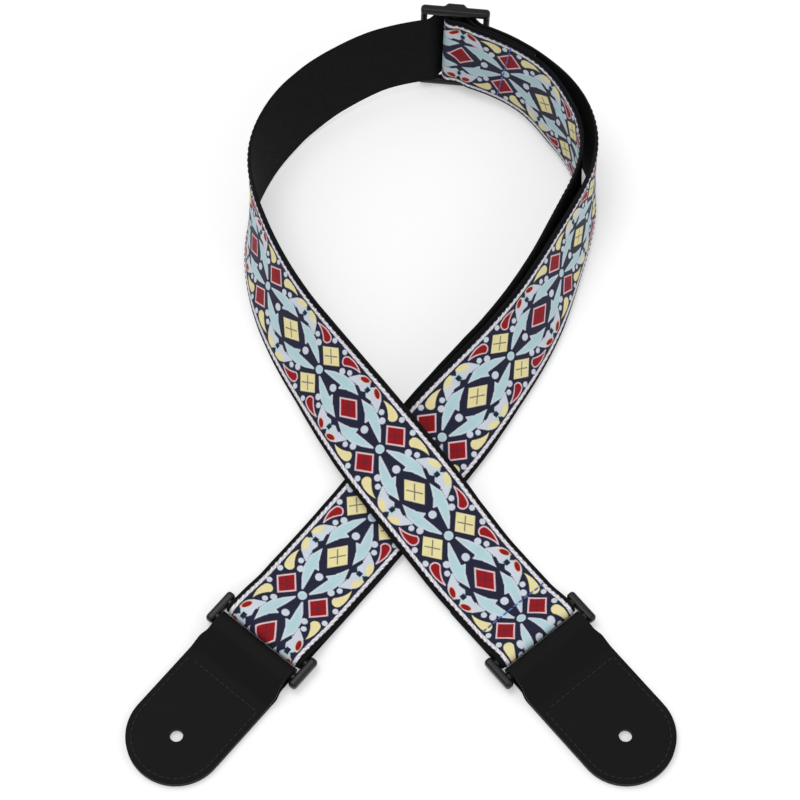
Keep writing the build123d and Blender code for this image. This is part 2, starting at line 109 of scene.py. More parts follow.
# How far past the slider, how far inside the outer run, and how far above it.
RETURN_RUN = [
    (82, 8.2, 0.5), (145, 6.6, 1.2), (190, 4.2, 1.7), (300, 2.7, 1.8), (350, 1.8, 0.5), (380, 1.8, 0.0),
]
ring_low, ring_high = (np.array(corner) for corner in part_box("right_ring"))
shift = (ring_low + ring_high) / 2 * 1000 - [*RIGHT_AT, RING_HEIGHT]
print("route moved by", shift.round(3), "mm")

# %% [markdown]
# ## The route as one smooth curve
# A strap that lies in a loop bends evenly between the places where something holds it. A clamped
# cubic curve does the same: it passes through each row and leaves both ends in line with the straight
# leads beside the rings. Each row also carries the lean, so the band rolls over smoothly.

# %% The smooth route
def smooth_route():
    rows = []
    for x, y, lift, lean in ROUTE:
        angle = np.radians(lean)
        rows.append((x, y, HALF_WIDTH * np.sin(angle) + HALF_WEB * abs(np.cos(angle)) + lift, lean))
    first = (*(RIGHT_BAR - RIGHT_OUT * LEAD)[:2], FLAT_ON_TAIL, 0)
    last = (*(LEFT_BAR - LEFT_OUT * LEAD)[:2], FLAT_ON_TAIL, 0)
    points = np.array([first, *rows, last], float)
    count = len(points)
    matrix, right = np.zeros((count, count)), np.zeros((count, 4))
    matrix[0, 0] = matrix[-1, -1] = 1
    right[0] = np.array([*-RIGHT_OUT, 0]) * np.linalg.norm((points[1] - points[0])[:3])
    right[-1] = np.array([*LEFT_OUT, 0]) * np.linalg.norm((points[-1] - points[-2])[:3])
    for i in range(1, count - 1):
        matrix[i, i - 1:i + 2] = 1, 4, 1
        right[i] = 3 * (points[i + 1] - points[i - 1])
    return points, np.linalg.solve(matrix, right)


POINTS, SLOPES = smooth_route()


def route_value(u):
    i = int(np.clip(np.floor(u), 0, len(POINTS) - 2))
    t = u - i
    return ((2 * t**3 - 3 * t**2 + 1) * POINTS[i] + (t**3 - 2 * t**2 + t) * SLOPES[i]
            + (3 * t**2 - 2 * t**3) * POINTS[i + 1] + (t**3 - t**2) * SLOPES[i + 1])


class Station:
    """A place on the band: its middle, its run, the side of its outer edge, and its face."""

    def __init__(self, point, along, across):
        self.point = np.array(point, float)
        self.along = unit(np.array(along, float))
        self.across = unit(across - self.along * np.dot(across, self.along))
        self.face = np.cross(self.along, self.across)

    def at(self, sideways, outwards):
        return self.point + self.across * sideways + self.face * outwards


def base_station(u):
    value = route_value(u)
    along = unit((route_value(u + 1e-4) - route_value(u - 1e-4))[:3])
    level = unit(np.cross([0, 0, 1], along))
    lean = np.radians(value[3])
    return Station(value[:3], along, np.cos(lean) * level - np.sin(lean) * np.cross(along, level))


CURVE_SAMPLES = 6000


def spaced(step, near_step, near):
    """Curve parameters at even steps, closer near the slider, and their distance past it."""
    fine = np.linspace(0, len(POINTS) - 1, CURVE_SAMPLES)
    places = np.array([route_value(u)[:3] for u in fine])
    length = np.concatenate([[0], np.cumsum(np.linalg.norm(np.diff(places, axis=0), axis=1))])
    middle = np.interp(SLIDER_ROW + 1, fine, length)
    before = np.linspace(0, middle - near, int((middle - near) / step) + 1)
    beside = np.linspace(middle - near, middle + near, int(2 * near / near_step) + 1)
    after = np.linspace(middle + near, length[-1], int((length[-1] - middle - near) / step) + 1)
    along = np.concatenate([before, beside[1:], after[1:]])
    return np.interp(along, length, fine), along - middle


PARAMETERS, PAST = spaced(step=2.6, near_step=1.0, near=54.0)
BASE = [base_station(u) for u in PARAMETERS]
SLIDER = base_station(SLIDER_ROW + 1)
print("route stations", len(BASE), "from", round(PAST[0]), "to", round(PAST[-1]), "mm past the slider")

# %% [markdown]
# ## How the runs pass the slider and each other
# Beside the slider three layers lie on each other: the outer run, the sewn tail of the strap's end,
# and the run that comes back from the left ring. Each is the smooth route moved in or out by a
# distance that eases from one value to the next.

# %% Offsets of the three runs
def ease(x, knots):
    xs = [k[0] for k in knots]
    i = int(np.clip(np.searchsorted(xs, x) - 1, 0, len(knots) - 2))
    t = float(np.clip((x - xs[i]) / (xs[i + 1] - xs[i]), 0, 1))
    return knots[i][1] + (knots[i + 1][1] - knots[i][1]) * t * t * (3 - 2 * t)


def end_bar_level(side):
    dips = [np.dot(SLIDER.point - s.point, SLIDER.face) for s in BASE]
    return UNDER_END_BAR + float(np.interp(side * (END_BAR_AT - END_BAR / 2), PAST, dips))


BEFORE_LEVEL, AFTER_LEVEL = end_bar_level(-1), end_bar_level(1)
FLAT_FROM = END_BAR_AT - 3.0
CLEAR_OF_SLIDER, FOLD_MOUTH, RETURN_MOUTH = 45, 0.5, 1.0
CREST_FROM, CREST_TO = -4.5, 3.0
BESIDE_TAIL = -BACK_TO_FACE - BACK_TO_BACK
OUTER = [
    (-CLEAR_OF_SLIDER, 0), (-END_BAR_AT, BEFORE_LEVEL), (-FLAT_FROM, BEFORE_LEVEL), (CREST_FROM, CREST),
    (CREST_TO, CREST), (FLAT_FROM, AFTER_LEVEL), (END_BAR_AT, AFTER_LEVEL), (CLEAR_OF_SLIDER, 0),
]


def outer_offset(x):
    return ease(x, OUTER)


def tail_offset(x):
    if x < END_BAR_AT:
        return ease(x, [(FOLD_MOUTH, SLIDER_FOLD), (FLAT_FROM, AFTER_LEVEL - BACK_TO_FACE)])
    return outer_offset(x) - BACK_TO_FACE


def return_offset(x):
    if x < END_BAR_AT:
        return ease(x, [(RETURN_MOUTH, -SLIDER_FOLD), (FLAT_FROM, AFTER_LEVEL + BESIDE_TAIL)])
    if x < CLEAR_OF_SLIDER:
        return outer_offset(x) + BESIDE_TAIL
    return ease(x, [(SLIDER_TAIL, BESIDE_TAIL)] + [(far, -inside) for far, inside, _ in RETURN_RUN])


def return_shift(x):
    return ease(x, [(SLIDER_TAIL, 0.0)] + [(far, up) for far, _, up in RETURN_RUN])


def run(offset, keep, shift_of=lambda x: 0.0, backwards=False):
    chosen = [(s, x) for s, x in zip(BASE, PAST) if keep(x)]
    places = [s.at(-shift_of(x), offset(x)) for s, x in chosen]
    if backwards:
        chosen, places = chosen[::-1], places[::-1]
    stations = []
    for i, (s, _) in enumerate(chosen):
        along = places[min(i + 1, len(places) - 1)] - places[max(i - 1, 0)]
        if i in (0, len(chosen) - 1):
            along = s.along * (-1 if backwards else 1)
        stations.append(Station(places[i], along, s.across))
    return stations


# %% Leads beside the rings, and folds round the bars
def lead(bar, direction, across, heights, reverse):
    stations = []
    for d in np.linspace(0, LEAD, LEAD_STEPS)[1:-1]:
        rise = (ease(d + 0.01, heights) - ease(d - 0.01, heights)) / 0.02
        along = direction + UP * rise
        place = bar + direction * d
        place[2] = ease(d, heights)
        stations.append(Station(place, -along if reverse else along, across))
    return stations[::-1] if reverse else stations


def half_turn(centre, first, across, radius, facets=16):
    start = unit(first)
    other = np.cross(across, start)
    stations = []
    for angle in np.linspace(0, np.pi, facets + 1):
        outwards = np.cos(angle) * start + np.sin(angle) * other
        stations.append(Station(centre + outwards * radius, np.cross(across, outwards), across))
    return stations


# How far from its bar each lead has come down to the layer under it.
RIGHT_SETTLE, LEFT_SETTLE = FOLD_STITCH - 2, 27
right_tail = [Station([*(RIGHT_BAR - RIGHT_OUT * d)[:2], FACE], RIGHT_OUT, RIGHT_ACROSS)
              for d in np.linspace(FOLD_TAIL, 0, 16)[:-1]]
right_fold = half_turn(RIGHT_BAR, -UP, RIGHT_ACROSS, RING_FOLD)
right_lead = lead(RIGHT_BAR, -RIGHT_OUT, RIGHT_ACROSS, [(0, TOP), (RIGHT_SETTLE, FLAT_ON_TAIL)], False)
outer_run = run(outer_offset, lambda x: True)
left_lead = lead(LEFT_BAR, -LEFT_OUT, LEFT_ACROSS, [(0, TOP), (LEFT_SETTLE, FLAT_ON_TAIL)], True)
left_fold = half_turn(LEFT_BAR, UP, LEFT_ACROSS, RING_FOLD)
left_under = lead(LEFT_BAR, -LEFT_OUT, LEFT_ACROSS, [(0, FACE), (LEFT_SETTLE, FACE)], False)
return_run = run(return_offset, lambda x: x > FOLD_MOUTH, return_shift, backwards=True)
slider_fold = half_turn(SLIDER.point - SLIDER.along * FOLD_CENTRE, -SLIDER.face, SLIDER.across,
                        SLIDER_FOLD)
slider_tail = run(tail_offset, lambda x: FOLD_MOUTH < x < SLIDER_TAIL)
BAND = (right_tail + right_fold + right_lead + outer_run + left_lead + left_fold + left_under
        + return_run + slider_fold + slider_tail)

# %% [markdown]
# ## One ruler along the band
# From here on a place on the strap is three numbers: how far along it is, how far sideways, and how
# far out from the middle of the webbing. That is how a weaver or a machinist would give it.

# %% The ruler
middle = np.array([s.point for s in BAND])
across = np.array([s.across for s in BAND])
face = np.array([s.face for s in BAND])
measure = np.concatenate([[0], np.cumsum(np.linalg.norm(np.diff(middle, axis=0), axis=1))])
STRAP_LENGTH = measure[-1]
at_right_bar = measure[len(right_tail) + len(right_fold) - 1]
at_left_bar = measure[len(right_tail + right_fold + right_lead + outer_run + left_lead)]
before_slider = len(BAND) - len(slider_tail) - len(slider_fold)
at_slider = measure[before_slider]


def blended(table, s):
    return np.stack([np.interp(s, measure, table[:, k]) for k in range(3)], axis=-1)


def on_band(s, sideways, outwards):
    """World places, in metres, of points given along, sideways and outwards in millimetres."""
    s, sideways, outwards = np.broadcast_arrays(
        *(np.atleast_1d(v).astype(float) for v in (s, sideways, outwards)))
    place = (blended(middle, s) + blended(across, s) * sideways[..., None]
             + blended(face, s) * outwards[..., None])
    return (place + shift) / 1000


print("band", round(STRAP_LENGTH), "mm; bar to bar", round(at_left_bar - at_right_bar), "mm")

# %% [markdown]
# ## Weaving the band
# Cloth simulation would only let this stiff webbing sag, so the band is lofted: one cross-section is
# carried along the ruler, with rounded selvedges on the webbing and a slightly crowned ribbon that its
# edge stitching pulls down. Each point also stores its place along and across the band, in metres,
# as a UV map. A weave can then follow the cloth round every fold.

# %% Helpers that make meshes and pieces
def new_piece(name, vertices, faces, body):
    mesh = bpy.data.meshes.new(name)
    mesh.from_pydata([tuple(v) for v in vertices], [], [tuple(f) for f in faces])
    mesh.validate()
    mesh.shade_smooth()
    piece = bpy.data.objects.new(name, mesh)
    bpy.context.scene.collection.objects.link(piece)
    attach(piece, body)
    return piece


def store_lay(piece, along, sideways):
    """Keeps each vertex's place on the band in a UV map, in metres."""
    layer = piece.data.uv_layers.new(name="lay")
    corners = np.zeros(len(piece.data.loops), int)
    piece.data.loops.foreach_get("vertex_index", corners)
    layer.data.foreach_set("uv", np.stack([along[corners], sideways[corners]], axis=1).ravel() / 1000)


def loft(name, section_at, distances, body, ruler=lambda s: s):
    """A closed band. section_at(s) gives its (sideways, outwards) points at each distance."""
    rings = section_at(distances)
    count, around = rings.shape[:2]
    s = np.repeat(distances[:, None], around, axis=1)
    vertices = on_band(s, rings[..., 0], rings[..., 1]).reshape(-1, 3)
    faces = []
    for k in range(count - 1):
        here, there = k * around, (k + 1) * around
        for i in range(around):
            j = (i + 1) % around
            faces.append((here + i, here + j, there + j, there + i))
    faces.append(tuple(range(around))[::-1])
    faces.append(tuple((count - 1) * around + i for i in range(around)))
    piece = new_piece(name, vertices, faces, body)
    store_lay(piece, ruler(s.ravel()), rings[..., 0].ravel())
    return piece


# %% The webbing, with rounded selvedges
rng = np.random.default_rng(7)
WOBBLE_PITCH, WOBBLE, RIBBON_WOBBLE, SELVEDGE_FROM = 9.0, 0.10, 0.6, 0.9
SECTION_PITCH, LEAST_PITCH = 1.5, 0.25
HALF_SHARES, SEAM, SEAM_WIDTH = (1.0, 0.97, 0.93, 0.88, 0.7, 0.5, 0.25), 0.97, 0.02
wobble_at = np.arange(0, STRAP_LENGTH + WOBBLE_PITCH, WOBBLE_PITCH)
wobble = rng.normal(0, WOBBLE, (4, len(wobble_at)))
distances = np.unique(np.concatenate([measure, np.arange(0, STRAP_LENGTH, SECTION_PITCH)]))
distances = distances[np.concatenate([[True], np.diff(distances) > LEAST_PITCH])]


def rounded_strip(half, low, high, crown=0.0, pull=0.0):
    """Section points of a thin strip with round edges; crown lifts its middle, pull sinks its seams."""
    level = (low + high) / 2
    depth = (high - low) / 2
    sides = np.array([*HALF_SHARES, 0.0, *(-v for v in HALF_SHARES[::-1])])
    inner = half - depth
    seams = np.exp(-((abs(sides) - SEAM) / SEAM_WIDTH) ** 2)
    top = [(inner * v, high + crown * (1 - v * v) - pull * seam) for v, seam in zip(sides, seams)]
    bottom = [(inner * v, low) for v in sides[::-1]]
    edge = [(np.sin(a), np.cos(a)) for a in np.radians([30, 60, 90, 120, 150])]
    right = [(inner + depth * x, level + depth * z) for x, z in edge]
    left = [(-x, z) for x, z in right[::-1]]
    return np.array(top[::-1] + right + bottom[::-1] + left)[::-1]


def wandering(section, half, s, rows, share=1.0):
    """The section at each distance, its two selvedges moved sideways by their rows of the wobble."""
    rings = np.repeat(section[None], len(s), axis=0)
    for side, row in zip((1, -1), rows):
        moved = share * np.interp(s, wobble_at, wobble[row])[:, None]
        rings[..., 0] += np.where(side * rings[..., 0] > half * SELVEDGE_FROM, moved, 0)
    return rings


def webbing_section(s):
    return wandering(rounded_strip(HALF_WIDTH, -HALF_WEB, HALF_WEB), HALF_WIDTH, s, (0, 1))


webbing = loft("webbing_band", webbing_section, distances, "strap")
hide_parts("webbing")
print("webbing", len(webbing.data.vertices), "vertices")


# %% [markdown]
# A jacquard ribbon gives a little as it is sewn, so its repeats come 49 to 61 mm apart. The ribbon's
# own ruler counts woven millimetres, 60 to a repeat, and the two rows below say where each count lies
# on the band. The ribbon's UV map holds this woven ruler in place of the plain one.

# %% The ribbon, sewn down along both edges
WOVEN_REPEAT = 60.0
BAND_PLACE = [0, 59.5, 89.5, 120.5, 150, 179.5, 208, 235.5, 263.6, 292.1, 317.5, 668, 692, 720, 748,
              776.8, 806, 892.7, 921.3, 951, 1299, 1325, 1354, 1381.5, 1445]
WOVEN_REPEATS = [-1, 0, 0.5, 1, 1.5, 2, 2.5, 3, 3.5, 4, 4.5, 11.5, 12, 12.5, 13, 13.5, 14,
                 15.5, 16, 16.5, 23, 23.5, 24, 24.5, 25.63]


def woven_ruler(s):
    return np.interp(s, BAND_PLACE, WOVEN_REPEATS) * WOVEN_REPEAT


RIBBON_SINK, RIBBON_CROWN, SEAM_PULL = 0.04, 0.05, 0.16


def ribbon_section(s):
    section = rounded_strip(RIBBON_HALF, HALF_WEB - RIBBON_SINK, FACE - RIBBON_CROWN,
                            crown=RIBBON_CROWN, pull=SEAM_PULL)
    return wandering(section, RIBBON_HALF, s, (2, 3), RIBBON_WOBBLE)


ribbon = loft("jacquard_ribbon_band", ribbon_section, distances, "strap", woven_ruler)
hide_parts("jacquard_ribbon")
print("ribbon", len(ribbon.data.vertices), "vertices")

# %% [markdown]
# ## Thread
# A lock stitch shows as a row of short plump threads that dip into the cloth at both ends. One helper
# makes every row: it takes the two ends of each stitch and the direction away from the surface, and
# gives each a bowed, tapered body.

# %% The stitch helper
STITCH_SIDES = 6
BOW = [
    (0.0, 0.35, -0.25), (0.12, 0.85, 0.25), (0.35, 1.0, 0.55),
    (0.65, 1.0, 0.55), (0.88, 0.85, 0.25), (1.0, 0.35, -0.25),
]


def thread_row(name, starts, ends, ups, radius, body):
    """Stitches from starts to ends, all in world metres. BOW rows are share, plumpness and rise."""
    starts, ends, ups = (np.asarray(v, float) for v in (starts, ends, ups))
    along = ends - starts
    length = np.linalg.norm(along, axis=1, keepdims=True)
    sides = np.cross(along / length, ups)
    vertices, faces = [], []
    turn = np.linspace(0, 2 * np.pi, STITCH_SIDES, endpoint=False)
    rings = np.stack([starts + along * share + ups * radius * rise for share, _, rise in BOW], axis=1)
    for k in range(len(starts)):
        base = k * len(BOW) * STITCH_SIDES
        for r, (_, plump, _) in enumerate(BOW):
            for a in turn:
                vertices.append(rings[k, r] + radius * plump * (np.cos(a) * sides[k] + np.sin(a) * ups[k]))
        for r in range(len(BOW) - 1):
            for i in range(STITCH_SIDES):
                j = (i + 1) % STITCH_SIDES
                a, b = base + r * STITCH_SIDES, base + (r + 1) * STITCH_SIDES
                faces.append((a + i, a + j, b + j, b + i))
        faces.append(tuple(base + i for i in range(STITCH_SIDES))[::-1])
        faces.append(tuple(base + (len(BOW) - 1) * STITCH_SIDES + i for i in range(STITCH_SIDES)))
    return new_piece(name, vertices, faces, body)


def up_at(s):
    return blended(face, np.atleast_1d(s))


# %% Thread on the band: the ribbon's two edges, and the blue rows that close the two folds
EDGE_PITCH, EDGE_STITCH, EDGE_LINE = 3.4, 2.6, 22.95
THREAD_SINK, BLUE_LIFT = 0.12, 0.05
EDGE_RADIUS, BLUE_RADIUS, TAB_RADIUS = 0.00022, 0.00045, 0.00034  # in metres
edge_at = np.arange(2.0, STRAP_LENGTH - 4, EDGE_PITCH)
edge_starts, edge_ends, edge_ups = [], [], []
for side in (-EDGE_LINE, EDGE_LINE):
    edge_starts.append(on_band(edge_at, side, FACE - THREAD_SINK))
    edge_ends.append(on_band(edge_at + EDGE_STITCH, side, FACE - THREAD_SINK))
    edge_ups.append(up_at(edge_at + EDGE_STITCH / 2))
edge_thread = thread_row("ribbon_edge_thread", np.concatenate(edge_starts), np.concatenate(edge_ends),
                         np.concatenate(edge_ups), EDGE_RADIUS, "strap")

BLUE_PITCH, BLUE_STITCH, BLUE_REACH, BLUE_WANDER = 3.6, 2.9, 22.3, 0.12
reach = np.arange(-BLUE_REACH, BLUE_REACH - BLUE_STITCH, BLUE_PITCH)
wander = rng.normal(0, BLUE_WANDER, (2, len(reach)))


def blue_row(name, s, node):
    starts = on_band(s + wander[0], reach, FACE + BLUE_LIFT)
    ends = on_band(s + wander[1], reach + BLUE_STITCH, FACE + BLUE_LIFT)
    ups = np.repeat(up_at(s), len(reach), axis=0)
    row = thread_row(name, starts, ends, ups, BLUE_RADIUS, "strap")
    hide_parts(node)
    return row


right_row = blue_row("right_fold_thread", at_right_bar + FOLD_STITCH, "right_fold_stitching")
slider_row = blue_row("slider_fold_thread", at_slider - SLIDER_STITCH, "slider_fold_stitching")
print("threads", len(edge_at) * 2, "edge stitches and", len(reach) * 2, "blue ones")

# %% [markdown]
# ## Thread on the leather
# Each tab is one piece of leather folded round its ring's bar. A row of stitches crosses it where the
# two layers meet, and another follows the edge round the end. Both are measured from the outer bar.

# %% Where each tab's bar lies, and its two rows of stitches
TAB_WIDTH, STITCH_INSET, HOLE_FROM_BAR, CROSS_FROM_BAR, TAB_TOP = 53.0, 3.0, 62.4, 26.0, 3.6
TAB_PITCH, TAB_STITCH = 3.6, 2.9


def tab_points(bar, out, x, y):
    side = np.cross(UP, out)
    place = np.array([*bar[:2], TAB_TOP - THREAD_SINK]) + np.outer(x, out) + np.outer(y, side)
    return (place + shift) / 1000


def perimeter_place(d, half, straight):
    """x, y on the line that runs up one side of the tab, round its end and back."""
    arc = np.pi * half
    angle = np.clip(d - straight, 0, arc) / half
    x = np.where(d < straight, CROSS_FROM_BAR + d, HOLE_FROM_BAR + half * np.sin(angle))
    x = np.where(d > straight + arc, HOLE_FROM_BAR - (d - straight - arc), x)
    return x, half * np.cos(angle)


for hand, at, out in (("right", RIGHT_AT, RIGHT_OUT), ("left", LEFT_AT, LEFT_OUT)):
    bar = np.array([*at, RING_HEIGHT]) + out * RING_BAR_SPACING / 2
    half = TAB_WIDTH / 2 - STITCH_INSET
    straight = HOLE_FROM_BAR - CROSS_FROM_BAR
    total = 2 * straight + np.pi * half
    count = int(total // TAB_PITCH)
    d = (np.arange(count) + 0.5) * total / count
    starts = tab_points(bar, out, *perimeter_place(d - TAB_STITCH / 2, half, straight))
    ends = tab_points(bar, out, *perimeter_place(d + TAB_STITCH / 2, half, straight))
    row = thread_row(f"{hand}_tab_edge_thread", starts, ends, np.tile(UP, (count, 1)), TAB_RADIUS,
                     f"{hand}_tab")
    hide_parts(f"{hand}_tab_perimeter_stitching")
    y = np.arange(-half + TAB_PITCH, half - TAB_PITCH, TAB_PITCH)
    x = np.full(len(y), CROSS_FROM_BAR)
    row = thread_row(f"{hand}_tab_cross_thread", tab_points(bar, out, x, y),
                     tab_points(bar, out, x, y + TAB_STITCH), np.tile(UP, (len(y), 1)), TAB_RADIUS,
                     f"{hand}_tab")
    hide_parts(f"{hand}_tab_cross_stitching")
    print(hand, "tab:", count, "edge and", len(y), "cross stitches")

# %% [markdown]
# ## Soft edges on the leather and the mouldings
# The frame's leather has knife edges; real edges are rubbed round. Merging its flat faces and then
# bevelling only the sharp edges does that without moving a single vertex of the frame. The rings and
# the slider already have rounded rails, so they only need smooth shading.

# %% Bevels and shading on the frame's own pieces
def smooth_by_angle(node, degrees):
    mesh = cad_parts[node].data
    mesh.shade_smooth()
    mesh.set_sharp_from_angle(angle=np.radians(degrees))


RUBBED_EDGE, STILL_FLAT, SHARP, CREASED = 0.00045, 1.5, 50, 40
for hand in ("right", "left"):
    leather_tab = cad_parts[f"{hand}_tab_leather"]
    merge = leather_tab.modifiers.new("flat_faces", "DECIMATE")
    merge.decimate_type = "DISSOLVE"
    merge.angle_limit = np.radians(STILL_FLAT)
    rub = leather_tab.modifiers.new("rubbed_edge", "BEVEL")
    rub.width, rub.segments = RUBBED_EDGE, 3
    rub.limit_method, rub.angle_limit = "ANGLE", np.radians(SHARP)
    rub.use_clamp_overlap = False
    smooth_by_angle(f"{hand}_tab_leather", CREASED)
    smooth_by_angle(f"{hand}_ring", CREASED)
smooth_by_angle("triglide_slider", CREASED)
print("edges rubbed on both tabs")

# %% [markdown]
# ## Arithmetic in a shader
# The ribbon's pattern is drawn with distances, not with a picture: each motif is a formula that is
# negative inside its outline. Writing those formulas node by node would be long, so a small class lets
# ordinary arithmetic lay the Math nodes.

# %% Wires
class Wire:
    """A number in a node tree. Arithmetic on it adds Math nodes to the same tree."""

    def __init__(self, tree, socket):
        self.tree, self.socket = tree, socket

    def math(self, operation, *others, clamp=False):
        node = self.tree.nodes.new("ShaderNodeMath")
        node.operation, node.use_clamp = operation, clamp
        for place, value in zip(node.inputs, (self, *others)):
            if isinstance(value, Wire):
                self.tree.links.new(value.socket, place)
            else:
                place.default_value = value
        return Wire(self.tree, node.outputs[0])

    def __add__(self, other):
        return self.math("ADD", other)

    def __sub__(self, other):
        return self.math("SUBTRACT", other)

    def __rsub__(self, other):
        return self.math("MULTIPLY_ADD", -1.0, other)

    def __mul__(self, other):
        return self.math("MULTIPLY", other)

    def __abs__(self):
        return self.math("ABSOLUTE")

    def least(self, other):
        return self.math("MINIMUM", other)

    def most(self, other):
        return self.math("MAXIMUM", other)


def hypotenuse(x, y):
    return (x * x).math("ADD", y * y).math("SQRT")


def inside(distance, soft=0.13):
    """1 inside an outline and 0 outside, with an edge about one thread wide."""
    return distance.math("MULTIPLY_ADD", -0.5 / soft, 0.5, clamp=True)


def disc(x, y, cx, cy, radius):
    return hypotenuse(x - cx, y - cy) - radius


def lozenge(x, y, cx, cy, half_x, half_y):
    to_millimetres = half_x * half_y / np.hypot(half_x, half_y)
    return (abs(x - cx) * (1 / half_x) + abs(y - cy) * (1 / half_y) - 1.0) * to_millimetres


def oval(x, y, cx, cy, half_x, half_y, degrees):
    c, s = np.cos(np.radians(degrees)), np.sin(np.radians(degrees))
    u = (x - cx) * (c / half_x) + (y - cy) * (s / half_x)
    v = (y - cy) * (c / half_y) - (x - cx) * (s / half_y)
    return (hypotenuse(u, v) - 1.0) * min(half_x, half_y)


def taper(x, y, start, end, bow=0.0):
    """A rounded stroke from start to end, each (x, y, radius), that bows to its left."""
    length = np.hypot(end[0] - start[0], end[1] - start[1])
    c, s = (end[0] - start[0]) / length, (end[1] - start[1]) / length
    along = (x - start[0]) * c + (y - start[1]) * s
    share = (along * (1 / length)).math("MULTIPLY", 1.0, clamp=True)
    off = (y - start[1]) * c - (x - start[0]) * s
    if bow:
        off = off - share * (1.0 - share) * (4 * bow)
    return hypotenuse(along - share * length, off) - (share * (end[2] - start[2]) + start[2])


def stroke(x, y, *points):
    """Tapers from point to point, joined in one stroke."""
    shape = taper(x, y, points[0], points[1])
    for start, end in zip(points[1:], points[2:]):
        shape = shape.least(taper(x, y, start, end))
    return shape


def colour(r, g, b):
    """A colour as seen on screen, 0 to 255, as the linear numbers that a shader takes."""
    v = np.array([r, g, b]) / 255
    return (*np.where(v <= 0.04045, v / 12.92, ((v + 0.055) / 1.055) ** 2.4), 1.0)


# The sockets of a Mix node that carry colours; the lower numbers carry floats and vectors.
MIX_UNDER, MIX_OVER, MIX_RESULT = 6, 7, 2


def paint(tree, under, over, mask):
    """Mixes a colour, or a colour socket, over another where mask is 1."""
    mix = tree.nodes.new("ShaderNodeMix")
    mix.data_type = "RGBA"
    for place, value in ((mix.inputs[MIX_UNDER], under), (mix.inputs[MIX_OVER], over)):
        if isinstance(value, tuple):
            place.default_value = value
        else:
            tree.links.new(value, place)
    tree.links.new(mask.socket, mix.inputs[0])
    return mix.outputs[MIX_RESULT]


def new_group(name, inputs, outputs):
    """A node group with named sockets; inputs are (name, kind, default)."""
    group = bpy.data.node_groups.new(name, "ShaderNodeTree")
    for label, kind, default in inputs:
        socket = group.interface.new_socket(label, in_out="INPUT", socket_type=f"NodeSocket{kind}")
        if default is not None:
            socket.default_value = default
    for label, kind in outputs:
        group.interface.new_socket(label, in_out="OUTPUT", socket_type=f"NodeSocket{kind}")
    start = group.nodes.new("NodeGroupInput")
    end = group.nodes.new("NodeGroupOutput")
    wires = {label: Wire(group, start.outputs[label]) for label, _, _ in inputs}
    return group, wires, end


# %% [markdown]
# ## The jacquard pattern
# A jacquard loom repeats one motif, mirrored left and right of the ribbon's middle and forwards and
# backwards along it. So only a quarter has to be drawn: `a` runs from a small circle to the middle of
# a large lozenge, in woven millimetres, and `b` from the ribbon's middle to its edge, in plain ones.
# Colours take turns between red and yellow from one repeat to the next.

# %% The pattern group
NAVY, AQUA, PALE = colour(27, 31, 58), colour(192, 228, 234), colour(222, 230, 242)
YELLOW, RED, PINK = colour(250, 238, 178), colour(158, 4, 16), colour(246, 212, 220)
QUARTER = WOVEN_REPEAT / 2
THREAD_ALONG, THREAD_ACROSS = 0.42, 0.36

pattern, wires, end = new_group("Jacquard pattern", [("Along", "Float", 0.0), ("Sideways", "Float", 0.0)],
                                [("Color", "Color"), ("Raised", "Float")])
along_in, side_in = wires["Along"], wires["Sideways"]
stepped = (along_in * (1 / THREAD_ALONG)).math("FLOOR") * THREAD_ALONG + THREAD_ALONG / 2
side_step = (side_in * (1 / THREAD_ACROSS)).math("FLOOR") * THREAD_ACROSS + THREAD_ACROSS / 2
turns = stepped * (1 / (2 * QUARTER))
nearest = turns.math("ROUND")
a = abs(turns - nearest) * (2 * QUARTER)
b = abs(side_step)
pair_yellow = nearest.math("FLOORED_MODULO", 2.0)
centre_yellow = turns.math("FLOOR").math("FLOORED_MODULO", 2.0)

# %% Motifs, each as a distance to its outline
CENTRE, PAIR, PAIR_AT = (8.8, 6.9), (7.9, 6.9), 11.0
centre = lozenge(a, b, QUARTER, 0.0, *CENTRE)
pair = lozenge(a, b, 0.0, PAIR_AT, *PAIR)
leaf = stroke(a, b, (3.4, 2.6, 0.6), (9.0, 5.2, 2.1), (15.0, 7.5, 3.0), (21.2, 8.8, 2.9), (28.4, 9.2, 0.1))
leaf = leaf.least(taper(a, b, (18.6, 7.2, 3.2), (17.2, 3.0, 0.5)))
fan = oval(a, b, 25.2, 15.6, 5.0, 4.2, degrees=0).least(taper(a, b, (22.0, 15.0, 3.0), (17.2, 11.6, 0.6)))
petal = oval(a, b, 24.7, 17.9, 3.9, 1.9, degrees=24)
dots = disc(a, b, 4.6, 19.2, 1.6).least(disc(a, b, 11.4, 10.6, 1.9)).least(disc(a, b, 15.3, 13.4, 1.6))
rounds = disc(a, b, 0.0, 0.0, 2.5).least(disc(a, b, 14.3, 0.0, 2.2)).least(dots)
drop = taper(a, b, (9.4, 16.5, 2.9), (19.4, 18.3, 0.1), bow=0.9)
print("pattern motifs drawn with", len(pattern.nodes), "nodes")

